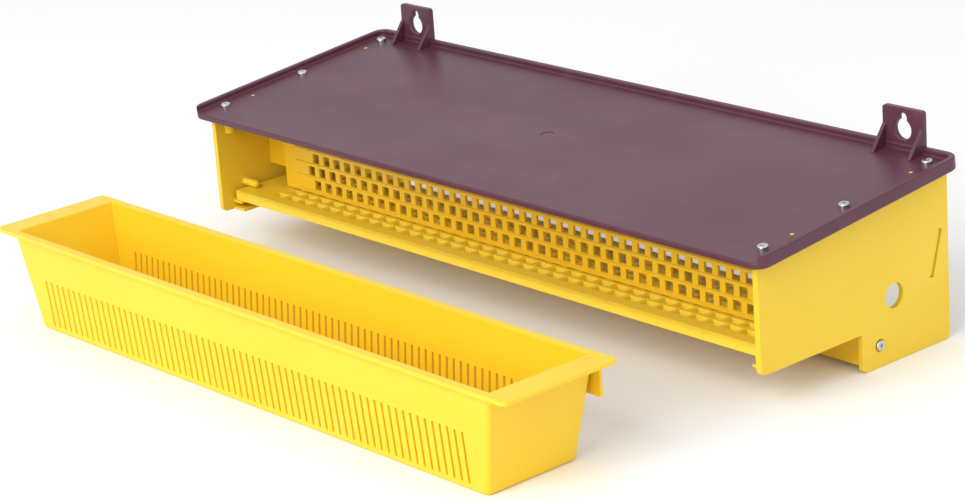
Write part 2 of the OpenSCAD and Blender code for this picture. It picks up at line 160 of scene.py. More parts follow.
class TrapWall(bpy.types.PropertyGroup):
    """Side walls with their ledges, rails and bosses."""

    thick: millimetres("Thickness", "Thickness of a wall", 3)
    overhang: millimetres("Overhang", "Of the roof past a wall's front", 6)
    foot_d: millimetres("Foot", "Depth of the rear foot", 60)
    rail_w: millimetres("Rail", "Width of the tray rail", 9)
    ledge_w: millimetres("Ledge", "Width of the floor's ledge", 7)
    ledge_t: millimetres("Ledge thickness", "Of the rail and the ledge", 1.5)
    slot_h: millimetres("Flange slot", "Between the rail and the ledge", 2.4)
    corner: millimetres("Corner", "Radius of lower corners", 3)
    exit_d: millimetres("Exit hole", "Diameter", 12)
    exit_back: millimetres("Exit hole place", "Behind the front of the foot", 22.4)
    exit_z: millimetres("Exit hole height", "Above the table", 31.7)
    stub_d: millimetres("Stub", "Diameter of the floor's stub", 4)
    stub_gap: millimetres("Stub gap", "Between the stub and the floor", 0.3)
    peg_boss_h: millimetres("Peg boss", "Height of the boss under a peg", 5.5)
    peg_edge: millimetres("Peg edge", "Rounding of a peg's top", 0.25)
    stub_back: millimetres("Stub place", "Behind the front of the floor", 9)
    boss_d: millimetres("Boss", "Diameter of a screw boss", 6.4)
    recess_d: millimetres("Recess", "Round the side screw", 6.2)
    recess_h: millimetres("Recess depth", "Under its head", 1)
    chamfer: millimetres("Hole edge", "Chamfer round a hole", 0.3)
    gap: millimetres("Gap", "Between pieces that slide", 0.2)
    guide_w: millimetres("Guide", "Reach of the panel guides", 7)
    guide_low: millimetres("Guide foot", "Gap under the panel guides", 1)
    slot_gap: millimetres("Baffle slot", "Gap round the baffle's end", 0.4)


class TrapPlates(bpy.types.PropertyGroup):
    """Inner plates."""

    thick: millimetres("Thickness", "Of the inner plates", 2)
    tilt: degrees("Baffle tilt", "From upright", 16.5)
    baffle_w: millimetres("Baffle", "Width of the baffle", 22)
    end_in: millimetres("Baffle end", "Set in from a wall's outer face", 0.8)
    boss_l: millimetres("Sill boss", "Length of a screw boss", 15)
    boss_d: millimetres("Boss width", "Diameter of a boss", 7.4)
    web_t: millimetres("Boss web", "Thickness of its web", 3)
    web_drop: millimetres("Web top", "Below the middle of the boss", 1.6)


class TrapPanel(bpy.types.PropertyGroup):
    """Holes and ridges of the stripping panel."""

    hole: millimetres("Bee hole", "Side of a square hole", 5.0)
    pitch: millimetres("Pitch", "Distance between holes in a row", 8.65)
    row: millimetres("Row", "Distance between rows", 7.3)
    first: millimetres("First row", "Height of the middle of the lowest row", 5.0)
    rows: IntProperty(name="Rows", description="Number of rows", default=5, min=1)
    margin: millimetres("Margin", "Plain stretch at each end", 20)
    ridge_h: millimetres("Ridge", "Height of a ridge", 0.7)
    ridge_t: millimetres("Ridge stand", "Distance that a ridge stands out", 0.6)
    ridge_drop: millimetres("Ridge drop", "Gap between a hole and the ridge under it", 0.4)


class TrapFloor(bpy.types.PropertyGroup):
    """Openings, edge and lip of the floor grid."""

    cell_w: millimetres("Opening width", "Along the trap", 8.4)
    cell_d: millimetres("Opening depth", "Front to back", 4.9)
    pitch: millimetres("Pitch", "Distance between openings in a row", 10.6)
    row: millimetres("Row", "Distance between rows", 6.9)
    border: millimetres("Right border", "Plain border at the right", 9)
    border_left: millimetres("Left border", "Plain border beside the bypass", 23)
    bar_t: millimetres("Bars", "Thickness of the bars", 3)
    rim: millimetres("Rim", "Deep rim at the ends", 6)
    lip: millimetres("Lip", "Deep rim at front and back", 2.5)
    groove_edge: millimetres("Groove edge", "Plain edge round the lip's groove", 2)
    groove_d: millimetres("Groove", "Depth of the groove in the front lip", 1.6)


class TrapTray(bpy.types.PropertyGroup):
    """Tub, flanges, skirt and slits of the pollen tray."""

    wall: millimetres("Wall", "Thickness of the wall", 2)
    flange_end: millimetres("End flange", "Width of the end flanges", 12.5)
    flange_side: millimetres("Side rim", "Width of the front and rear rims", 2.5)
    end_draft: millimetres("End draft", "Lean of the end walls over the height", 10)
    side_draft: millimetres("Side draft", "Lean of the front and rear walls", 4.2)
    skirt_h: millimetres("Skirt", "Height of the rear skirt with its rim", 20)
    skirt_t: millimetres("Skirt wall", "Thickness of the skirt", 1.6)
    skirt_in: millimetres("Skirt inset", "From the rear edge of the rim", 0.05)
    skirt_drop: millimetres("Skirt top", "Below the top of the rim", 0.4)
    slits: IntProperty(name="Slits", description="Number of slits in a row", default=66, min=1)
    slit_pitch: millimetres("Slit pitch", "Distance between slits", 4.81)
    slit_w: millimetres("Slit width", "Width of a slit", 1.3)
    slit_low: millimetres("Slit foot", "Height of the lower ends of the slits", 3)
    slit_high: millimetres("Slit head", "Height of the upper ends of the slits", 27.5)
    mark_d: millimetres("Mark", "Diameter of the round moulding mark", 8)
    mark_in: millimetres("Mark inset", "From the end and rear edges", 7.5)
    mark_deep: millimetres("Mark depth", "Depth of the mark", 0.25)


class TrapScrew(bpy.types.PropertyGroup):
    """Shape of a pan head screw with a cross recess."""

    head_d: millimetres("Head", "Diameter of the head", 5.2)
    head_h: millimetres("Head height", "Height of the head", 2)
    shank_d: millimetres("Shank", "Diameter of the thread", 3)
    point: millimetres("Point", "Length of the point", 1.6)
    first_turn: degrees("First turn", "Turn of the first recess", 25)
    next_turn: degrees("Next turn", "From one recess to the next", 37)
    side_turn: degrees("Side turn", "Added on the right side", 11)

    edge: millimetres("Head edge", "Rounding of the head's rim", 0.75)
    recess_w: millimetres("Recess arm", "Width of an arm of the cross recess", 0.85)
    recess_l: millimetres("Recess span", "Span of the cross recess", 3.1)
    recess_d: millimetres("Recess depth", "Depth of the cross recess", 1.3)
    thread_pitch: millimetres("Thread pitch", "Distance between the turns of the thread", 1.2)


class TrapFinish(bpy.types.PropertyGroup):
    """Colours and gloss of the plastics and the plating."""

    maroon: tint("Maroon", "Roof plastic", (0.105, 0.031, 0.051))
    maroon_deep: tint("Deep maroon", "Darker flow in the roof", (0.084, 0.024, 0.041))
    yellow: tint("Yellow", "Walls and floor", (0.84, 0.59, 0.034))
    yellow_deep: tint("Deep yellow", "Thicker parts of the walls", (0.80, 0.54, 0.024))
    amber: tint("Amber", "Stripping panel and inner plates", (0.86, 0.54, 0.018))
    amber_deep: tint("Deep amber", "Darker flow in the panel", (0.81, 0.47, 0.012))
    tray: tint("Tray yellow", "Pollen tray", (0.87, 0.60, 0.024))
    tray_deep: tint("Deep tray yellow", "Thicker parts of the tray", (0.84, 0.55, 0.018))
    steel: tint("Plating", "Zinc plated screws", (0.66, 0.67, 0.70))


class TrapStage(bpy.types.PropertyGroup):
    """Camera, lights and floor."""

    camera_place: FloatVectorProperty(
        name="Camera place",
        description="Where the camera stands",
        subtype="XYZ",
        unit="LENGTH",
        default=(1.0540, -0.8740, 0.4991),
    )
    azimuth: degrees("Azimuth", "Turn of the camera from looking straight at the front", 51.16)
    elevation: degrees("Elevation", "Angle of the camera above the horizon", 19.22)
    roll: degrees("Roll", "Roll of the camera about its own axis", -4.74)
    lens: FloatProperty(name="Lens", description="Focal length in millimetres", default=111.88)
    shift_x: FloatProperty(name="Shift X", description="Sideways shift of the lens", default=0.0739)
    shift_y: FloatProperty(name="Shift Y", description="Upward shift of the lens", default=0.0396)
    floor: tint("Floor", "Colour of the floor", (0.93, 0.93, 0.93))
    sky: FloatProperty(name="Sky", description="Strength of the light from all round", default=0.85)
    key: FloatProperty(
        name="Key light", description="Power of the large front light", default=24.0, subtype="POWER"
    )
    side: FloatProperty(
        name="Side light", description="Power of the light from the right", default=2.0, subtype="POWER"
    )


# ---------------------------------------------------------------- modelling helpers


def deselect():
    """Leaves object mode with nothing selected."""
    if bpy.context.mode != "OBJECT":
        bpy.ops.object.mode_set(mode="OBJECT")
    bpy.ops.object.select_all(action="DESELECT")


def pick(piece):
    """Makes one object the only one selected, and active."""
    deselect()
    piece.select_set(True)
    bpy.context.view_layer.objects.active = piece


def edit(piece):
    """Opens a piece in edit mode with nothing selected."""
    pick(piece)
    bpy.ops.object.mode_set(mode="EDIT")
    bpy.ops.mesh.select_mode(type="EDGE")
    bpy.ops.mesh.select_all(action="DESELECT")


def leave():
    """Goes back to object mode."""
    bpy.ops.object.mode_set(mode="OBJECT")


def extrude(offset):
    """Extrudes the selected faces by an offset. The piece is in edit mode."""
    bpy.ops.mesh.extrude_region_move(TRANSFORM_OT_translate={"value": offset})


def select_edges(piece, wanted):
    """Selects the edges for which wanted(start, end) is true. The piece is in edit mode."""
    mesh = bmesh.from_edit_mesh(piece.data)
    for edge in mesh.edges:
        edge.select_set(wanted(edge.verts[0].co, edge.verts[1].co))
    mesh.select_flush_mode()
    bmesh.update_edit_mesh(piece.data)


def bevel(piece, wanted, radius, steps):
    """Rounds the edges for which wanted(start, end) is true."""
    edit(piece)
    select_edges(piece, wanted)
    bpy.ops.mesh.bevel(offset=radius, segments=steps, clamp_overlap=False)
    leave()


def anywhere(centre, normal):
    """Picks every face."""
    return True


def facing_down(centre, normal):
    """Picks the faces that look down."""
    return normal.z < -FACING


def select_faces(piece, wanted):
    """Selects the faces for which wanted(centre, normal) is true. The piece is in edit mode."""
    bpy.ops.mesh.select_mode(type="FACE")
    mesh = bmesh.from_edit_mesh(piece.data)
    for face in mesh.faces:
        face.select_set(wanted(face.calc_center_median(), face.normal))
    mesh.select_flush_mode()
    bmesh.update_edit_mesh(piece.data)


def bisect(piece, place, normal, wanted):
    """Cuts the wanted faces along a plane, and leaves both sides. The piece is in edit mode."""
    select_faces(piece, wanted)
    bpy.ops.mesh.bisect(plane_co=place, plane_no=normal, threshold=WELD)


def remove_faces(piece, wanted):
    """Deletes the wanted faces. The piece is in edit mode."""
    select_faces(piece, wanted)
    bpy.ops.mesh.delete(type="ONLY_FACE")
    bpy.ops.mesh.select_all(action="SELECT")
    bpy.ops.mesh.delete_loose(use_verts=True, use_edges=True, use_faces=False)


def outward():
    """Turns every face of the closed piece in edit mode outwards."""
    bpy.ops.mesh.select_all(action="SELECT")
    bpy.ops.mesh.normals_make_consistent(inside=False)
    bpy.ops.mesh.select_all(action="DESELECT")


def sheet(name, low, high, across="Z"):
    """Flat sheet between two corners, facing up, or to the front if across is Y."""
    deselect()
    turn = (math.pi / 2, 0, 0) if across == "Y" else (0, 0, 0)
    bpy.ops.mesh.primitive_plane_add(size=1, location=(low + high) / 2, rotation=turn)
    piece = bpy.context.view_layer.objects.active
    size = high - low
    piece.scale = (size.x, size.z if across == "Y" else size.y, 1)
    bpy.ops.object.transform_apply(location=True, rotation=True, scale=True)
    piece.name = piece.data.name = name
    return piece


def block(name, low, high):
    """Block between two corners."""
    deselect()
    bpy.ops.mesh.primitive_cube_add(size=1, location=(low + high) / 2)
    piece = bpy.context.view_layer.objects.active
    piece.scale = high - low
    bpy.ops.object.transform_apply(location=True, rotation=True, scale=True)
    piece.name = piece.data.name = name
    return piece


def join(piece, *others):
    """Joins other pieces into one."""
    pick(piece)
    for other in others:
        other.select_set(True)
    bpy.ops.object.join()
    return piece


def copy_of(model, name):
    """Copy of a piece with its own mesh."""
    piece = model.copy()
    piece.data = model.data.copy()
    piece.name = piece.data.name = name
    bpy.context.scene.collection.objects.link(piece)
    return piece


def rod(name, centre, axis, radius, depth, sides=48, end_radius=None):
    """Round rod about a centre, or a cone if it has an end radius."""
    deselect()
    turn = Vector(axis).to_track_quat("Z", "Y").to_euler()
    bpy.ops.mesh.primitive_cone_add(
        vertices=sides,
        radius1=radius,
        radius2=radius if end_radius is None else end_radius,
        depth=depth,
        location=centre,
        rotation=turn,
    )
    piece = bpy.context.view_layer.objects.active
    bpy.ops.object.transform_apply(location=True, rotation=True, scale=True)
    piece.name = piece.data.name = name
    return piece


def carve(piece, *cutters):
    """Takes cutters out of a piece, one after another."""
    for cutter in cutters:
        cut = piece.modifiers.new("Cut", "BOOLEAN")
        cut.operation = "DIFFERENCE"
        cut.solver = "EXACT"
        cut.object = cutter
        apply_all(piece)
        bpy.data.objects.remove(cutter)


def drill(piece, near, far, radius, chamfer=0.0):
    """Bores a round hole between the faces at near and far, with a chamfer at each."""
    axis = (far - near).normalized()
    depth = (far - near).length
    cutters = [rod("bore", (near + far) / 2, axis, radius, depth + 2 * MM)]
    if chamfer:
        for face, inwards in ((near, axis), (far, -axis)):
            cutters.append(
                rod("flare", face, inwards, radius + 2 * chamfer, 2 * chamfer, end_radius=radius)
            )
    carve(piece, *cutters)


def shade(piece):
    """Smooth shading over gentle edges, with the large faces kept flat."""
    pick(piece)
    bpy.ops.object.shade_smooth_by_angle(angle=math.radians(35))
    weigh = piece.modifiers.new("Weigh", "WEIGHTED_NORMAL")
    weigh.keep_sharp = True
    apply_all(piece)


def loose_groups(node):
    """Vertices of each separate solid in a CAD node, as lists of points."""
    mesh = bmesh.new()
    mesh.from_mesh(frame["nodes"][node].data)
    bmesh.ops.remove_doubles(mesh, verts=mesh.verts, dist=2 * WELD)
    left, groups = set(mesh.verts), []
    while left:
        front, group = [left.pop()], []
        while front:
            vertex = front.pop()
            group.append(vertex.co.copy())
            for edge in vertex.link_edges:
                other = edge.other_vert(vertex)
                if other in left:
                    left.remove(other)
                    front.append(other)
        groups.append(group)
    mesh.free()
    return sorted(groups, key=lambda group: (group[0].x > 0, min(point.y for point in group)))


def middle(group, direction):
    """Middle of a group's extent along a direction."""
    reach = [point.dot(direction) for point in group]
    return (min(reach) + max(reach)) / 2


def seat_matrix(group, axis):
    """Place of a screw whose own z runs along axis, with its tip at the lowest reach of the group."""
    across = Vector((1, 0, 0)) if abs(axis.x) < 0.5 else Vector((0, 1, 0))
    beside = axis.cross(across).normalized()
    across = beside.cross(axis)
    tip = min(point.dot(axis) for point in group)
    origin = across * middle(group, across) + beside * middle(group, beside) + axis * tip
    turn = Matrix((across, beside, axis)).transposed().to_4x4()
    return Matrix.Translation(origin) @ turn


def front_y():
    """Front edge of the roof's underside."""
    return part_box("side_wall_left")[0].y - bpy.context.scene.trap_wall.overhang


def roof_at(y):
    """Height of the underside of the roof at a place y."""
    roof = bpy.context.scene.trap_roof
    return roof.height + (y - front_y()) * math.tan(roof.pitch)


def roof_place():
    """Matrix that lays a flat roof, whose front lower edge is the x axis, on the walls."""
    roof = bpy.context.scene.trap_roof
    return Matrix.Translation((0, front_y(), roof.height)) @ Matrix.Rotation(roof.pitch, 4, "X")


def trim_to_roof():
    """Cuts the piece in edit mode off along the underside of the roof."""
    place = roof_place()
    bpy.ops.mesh.select_all(action="SELECT")
    bpy.ops.mesh.bisect(
        plane_co=place.translation,
        plane_no=place.to_3x3() @ Vector((0, 0, 1)),
        use_fill=True,
        clear_outer=True,
        threshold=WELD,
    )


def row_starts(start, end, width, pitch, shift):
    """Starts of the openings of one width that fit between start and end, the first one shifted."""
    count = math.floor((end - start - shift - width) / pitch + 1e-6) + 1
    return [start + shift + number * pitch for number in range(count)]


def pierce(piece, rows, axis):
    """Cuts rows of openings in a sheet.

    A row is its low and high reach along axis, the starts of its openings and their width.
    """
    along = Vector(axis)
    edit(piece)
    for low, high, _, _ in rows:
        for reach in (low, high):
            bisect(piece, along * reach, along, anywhere)
    for low, high, starts, width in rows:
        for start in starts:
            for reach in (start, start + width):
                bisect(
                    piece, X * reach, X, lambda centre, normal: low < centre.dot(along) < high
                )
        remove_faces(
            piece,
            lambda centre, normal: low < centre.dot(along) < high
            and any(start < centre.x < start + width for start in starts),
        )
    leave()


def apply_all(piece):
    """Applies every modifier of a piece, in order."""
    pick(piece)
    for modifier in list(piece.modifiers):
        bpy.ops.object.modifier_apply(modifier=modifier.name)


def round_edges(piece, radius, steps, angle=math.radians(50)):
    """Rounds every edge sharper than angle, and shades the piece smoothly between flat faces."""
    pick(piece)
    bpy.ops.object.shade_smooth()
    bevel = piece.modifiers.new("Rounding", "BEVEL")
    bevel.width = radius
    bevel.segments = steps
    bevel.limit_method = "ANGLE"
    bevel.angle_limit = angle
    bevel.use_clamp_overlap = False
    bevel.miter_outer = "MITER_ARC"
    bevel.harden_normals = True
    apply_all(piece)


def finish_piece(piece, material, slot, *nodes):
    """Gives a piece its material and its body, and hides the CAD nodes that it stands for."""
    piece.data.materials.clear()
    piece.data.materials.append(material)
    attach(piece, BODY_OF[nodes[0]])
    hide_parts(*nodes)
    return piece


# ---------------------------------------------------------------- materials


class Tree:
    """Short hand for building a material's nodes."""

    def __init__(self, name):
        self.material = bpy.data.materials.new(name)
        self.material.use_nodes = True
        self.nodes = self.material.node_tree.nodes
        self.links = self.material.node_tree.links
        self.shader = self.nodes["Principled BSDF"]

    def node(self, kind, **values):
        """A new node. Values name its properties, or its inputs by a name with _ for a space."""
        made = self.nodes.new(kind)
        for key, value in values.items():
            socket = made.inputs.get(key.replace("_", " "))
            if socket is None:
                setattr(made, key, value)
            elif isinstance(value, bpy.types.NodeSocket):
                self.links.new(value, socket)
            else:
                socket.default_value = value
        return made

    def set(self, **values):
        """Sets or links the shader's sockets."""
        for key, value in values.items():
            socket = self.shader.inputs[key.replace("_", " ")]
            if isinstance(value, bpy.types.NodeSocket):
                self.links.new(value, socket)
            else:
                socket.default_value = value

    def place(self, scale=(1, 1, 1), turn=(0, 0, 0)):
        """Object coordinates, stretched and turned."""
        coords = self.node("ShaderNodeTexCoord").outputs["Object"]
        mapping = self.node("ShaderNodeMapping", Vector=coords, Scale=scale, Rotation=turn)
        return mapping.outputs["Vector"]

    def noise(self, vector, scale, detail=3.0, rough=0.55):
        """Values of a noise round one half."""
        made = self.node(
            "ShaderNodeTexNoise", Vector=vector, Scale=scale, Detail=detail, Roughness=rough
        )
        return made.outputs["Fac"]

    def band(self, value, low, high, out_low=0.0, out_high=1.0):
        """Value rescaled from low..high to out_low..out_high, and held there."""
        made = self.node("ShaderNodeMapRange", Value=value)
        made.inputs["From Min"].default_value = low
        made.inputs["From Max"].default_value = high
        made.inputs["To Min"].default_value = out_low
        made.inputs["To Max"].default_value = out_high
        return made.outputs["Result"]

    def mix(self, factor, first, second):
        """Two colours mixed."""
        made = self.nodes.new("ShaderNodeMix")
        made.data_type = "RGBA"
        self.links.new(factor, made.inputs[0])
        for socket, value in ((made.inputs[6], first), (made.inputs[7], second)):
            if isinstance(value, bpy.types.NodeSocket):
                self.links.new(value, socket)
            else:
                socket.default_value = value
        return made.outputs[2]

    def math(self, operation, first, second):
        """One arithmetic step on two values."""
        made = self.nodes.new("ShaderNodeMath")
        made.operation = operation
        for socket, value in zip(made.inputs, (first, second)):
            if isinstance(value, bpy.types.NodeSocket):
                self.links.new(value, socket)
            else:
                socket.default_value = value
        return made.outputs[0]

    def bump(self, height, strength, distance, below=None):
        """A bump, on top of another if one is given."""
        made = self.node("ShaderNodeBump", Height=height, Strength=strength, Distance=distance)
        if below is not None:
            self.links.new(below, made.inputs["Normal"])
        return made.outputs["Normal"]


def rgba(colour):
    return (*colour, 1.0)


def lighter(colour, share):
    """A colour moved towards white by a share."""
    return tuple(c + (1 - c) * share for c in colour)


def moulded_plastic(name, colour, deep, rough, flow=(5, 22, 22), glow=0.0, scuff=0.10):
    """Injection moulded plastic with flow marks, a fine grain, hairline scratches and scuffs."""
    tree = Tree(name)
    streaks = tree.noise(tree.place(flow), 1.0, detail=4.0)
    clouds = tree.noise(tree.place(), 14.0, detail=2.0)
    grain = tree.noise(tree.place(), 1500.0, detail=2.0, rough=0.6)
    rub = tree.band(tree.noise(tree.place(), 48.0, detail=7.0, rough=0.72), 0.58, 0.78)
    along = tree.noise(tree.place((9, 520, 520), (0.2, 0.1, 0.35)), 1.0, detail=2.0)
    hair = tree.band(along, 0.70, 0.76)
    across = tree.noise(tree.place((460, 11, 460), (0.1, 0.3, -0.5)), 1.0, detail=2.0)
    hair_across = tree.band(across, 0.71, 0.77)
    scratches = tree.math("MAXIMUM", hair, hair_across)
    tone = tree.mix(tree.band(streaks, 0.35, 0.65), rgba(colour), rgba(deep))
    tone = tree.mix(tree.band(clouds, 0.42, 0.72, 0.0, 0.45), tone, rgba(deep))
    worn = tree.math("MULTIPLY", tree.math("MAXIMUM", rub, scratches), scuff)
    tone = tree.mix(worn, tone, rgba(lighter(colour, 0.45)))
    sheen = tree.band(clouds, 0.3, 0.7, rough - 0.04, rough + 0.05)
    gloss = tree.math("ADD", sheen, tree.band(rub, 0, 1, 0, 0.10))
    normal = tree.bump(grain, 0.22, 0.04 * MM)
    normal = tree.bump(streaks, 0.25, 0.25 * MM, normal)
    normal = tree.bump(scratches, -0.35, 0.02 * MM, normal)
    tree.set(Base_Color=tone, Roughness=gloss, Normal=normal)
    tree.set(IOR=1.49, Specular_IOR_Level=0.42)
    tree.set(Subsurface_Weight=glow, Subsurface_Radius=(1.0, 0.55, 0.12), Subsurface_Scale=2.5 * MM)
    return tree.material


def zinc_plate(name, colour):
    """Bright zinc plating with fine turning marks and dull spots."""
    tree = Tree(name)
    fine = tree.noise(tree.place(), 2600.0, detail=3.0)
    spots = tree.noise(tree.place(), 420.0, detail=4.0, rough=0.65)
    tone = tree.mix(tree.band(spots, 0.4, 0.75), rgba(colour), rgba(tuple(c * 0.62 for c in colour)))
    tree.set(Base_Color=tone, Metallic=1.0, Roughness=tree.band(spots, 0.3, 0.75, 0.20, 0.42))
    tree.set(Normal=tree.bump(fine, 0.30, 0.02 * MM))
    return tree.material


def material(name):
    """The named finish, made when it is first asked for."""
    found = bpy.data.materials.get(name)
    if found:
        return found
    finish = bpy.context.scene.trap_finish
    if name == "zinc_plating":
        return zinc_plate(name, finish.steel)
    plastics = {
        "maroon_moulding": (finish.maroon, finish.maroon_deep, 0.36, (4, 26, 26), 0.0, 0.07),
        "yellow_moulding": (finish.yellow, finish.yellow_deep, 0.38, (22, 6, 14), 0.12),
        "floor_moulding": (finish.yellow, finish.yellow_deep, 0.40, (6, 24, 24), 0.08),
        "amber_moulding": (finish.amber, finish.amber_deep, 0.40, (7, 20, 20), 0.10),
        "tray_moulding": (finish.tray, finish.tray_deep, 0.36, (5, 18, 24), 0.14),
    }
    return moulded_plastic(name, *plastics[name])


# ---------------------------------------------------------------- pieces


class TRAP_OT_roof(bpy.types.Operator):
    """Roof plate with a raised rim on three sides, two hanging lugs, pegs' holes and panel guides"""

    bl_idname = "trap.roof"
    bl_label = "Roof"

    def execute(self, context):
        roof = context.scene.trap_roof
        rounding = context.scene.trap_rounding
        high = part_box("roof")[1]
        piece = self.tray_shape(roof, rounding, high.x)
        top = Vector((0, roof.length / 2, roof.plate))
        carve(piece, rod("gate", top, Z, roof.gate_d / 2, 2 * roof.gate_deep))
        peg_x = abs(middle(loose_groups("roof_screws_left")[0], X))
        for x in (-peg_x, peg_x):
            for y in (roof.peg_front, roof.length - roof.peg_back):
                under = Vector((x, y, 0))
                drill(piece, under, under + Z * roof.plate, roof.peg_d / 2 + CLEAR)
        piece.data.transform(roof_place())
        lug_x = high.x - roof.lug_inset
        left_lug = self.lug(roof, rounding, -lug_x)
        right_lug = copy_of(left_lug, "right_lug")
        right_lug.data.transform(Matrix.Translation((2 * lug_x, 0, 0)))
        join(piece, left_lug, right_lug, *self.guides(roof, rounding, peg_x))
        shade(piece)
        finish_piece(piece, material("maroon_moulding"), "maroon_plastic", "roof")
        return {"FINISHED"}

    def tray_shape(self, roof, rounding, reach):
        """Plate and rim, flat, with the front lower edge on the x axis."""
        top = roof.plate + roof.rim_h
        piece = block("roof_moulding", Vector((-reach, 0, 0)), Vector((reach, roof.length, top)))
        bevel(piece, lambda a, b: abs(a.z - b.z) > roof.rim_h, roof.corner, 6)
        hollow = block(
            "hollow",
            Vector((-reach + roof.rim_t, -roof.corner, roof.plate)),
            Vector((reach - roof.rim_t, roof.length - roof.rim_t, roof.plate + 2 * roof.rim_h)),
        )
        bevel(hollow, lambda a, b: abs(a.z - b.z) > roof.rim_h and a.y > 0, roof.inner_corner, 5)
        carve(piece, hollow)
        round_edges(piece, rounding.roof, rounding.steps + 1)
        self.part_rim(piece, roof, reach)
        return piece

    def part_rim(self, piece, roof, reach):
        """Cuts the rim's top face at the corners, so that each stretch of it is a plain strip."""

        def rim_top(centre, normal):
            return normal.z > FACING and centre.z > roof.plate + roof.rim_h / 2

        edit(piece)
        past = roof.corner + MM
        bisect(piece, (0, roof.length - past, 0), (0, 1, 0), rim_top)
        for side in (-1, 1):
            bisect(piece, (side * (reach - past), 0, 0), (1, 0, 0), rim_top)
        leave()

    def lug(self, roof, rounding, x):
        """Upright lug with a keyhole, between two gussets."""
        back = front_y() + roof.length * math.cos(roof.pitch)
        front = back - roof.rim_t
        base = roof_at(front) + roof.plate / math.cos(roof.pitch)
        piece = block(
            "lug",
            Vector((x - roof.lug_w / 2, front, roof_at(back) + SUNK)),
            Vector((x + roof.lug_w / 2, back, base + roof.lug_h)),
        )
        head = base + roof.lug_h - NEAR
        bevel(
            piece,
            lambda a, b: min(a.z, b.z) > head and abs(a.x - b.x) < NEAR,
            roof.lug_corner,
            4,
        )
        round_edges(piece, rounding.lug, rounding.steps)
        mouth = base + roof.mouth_z
        near, far = Vector((x, front, mouth)), Vector((x, back, mouth))
        up = Z * roof.rise
        drill(piece, near, far, roof.mouth_d / 2, rounding.lug)
        drill(piece, near + up, far + up, roof.neck_d / 2, rounding.lug)
        half = X * (roof.neck_d / 2)
        carve(piece, block("slot", near - Y * MM - half, far + up + Y * MM + half))
        gussets = []
        for left in (x - roof.lug_w / 2, x + roof.lug_w / 2 - roof.gusset_t):
            foot = front - roof.gusset_len
            gusset = block(
                "gusset",
                Vector((left, foot, base - roof.plate)),
                Vector((left + roof.gusset_t, front + SUNK, base + roof.gusset_h)),
            )
            edit(gusset)
            select_edges(gusset, lambda a, b: max(a.y, b.y) < foot + NEAR and min(a.z, b.z) > base)
            drop = roof.gusset_h - (roof_at(foot) - roof_at(front)) - roof.gusset_toe
            bpy.ops.transform.translate(value=(0, 0, -drop))
            leave()
            round_edges(gusset, rounding.lug, rounding.steps, math.radians(35))
            gussets.append(gusset)
        return join(piece, *gussets)

    def guides(self, roof, rounding, peg_x):
        """Two ribs under the plate that keep the top of the stripping panel in line."""
        low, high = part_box("stripping_panel")
        ribs = []
        reach = peg_x - bpy.context.scene.trap_wall.boss_d / 2 - MM
        face = low.y + bpy.context.scene.trap_panel.ridge_t
        for y in (face - roof.guide_gap - roof.guide_t, high.y + roof.guide_gap):
            rib = block(
                "rib",
                Vector((-reach, y, roof_at(y) - roof.guide_h)),
                Vector((reach, y + roof.guide_t, roof_at(y) + MM)),
            )
            round_edges(rib, rounding.panel, rounding.steps)
            ribs.append(rib)
        return ribs


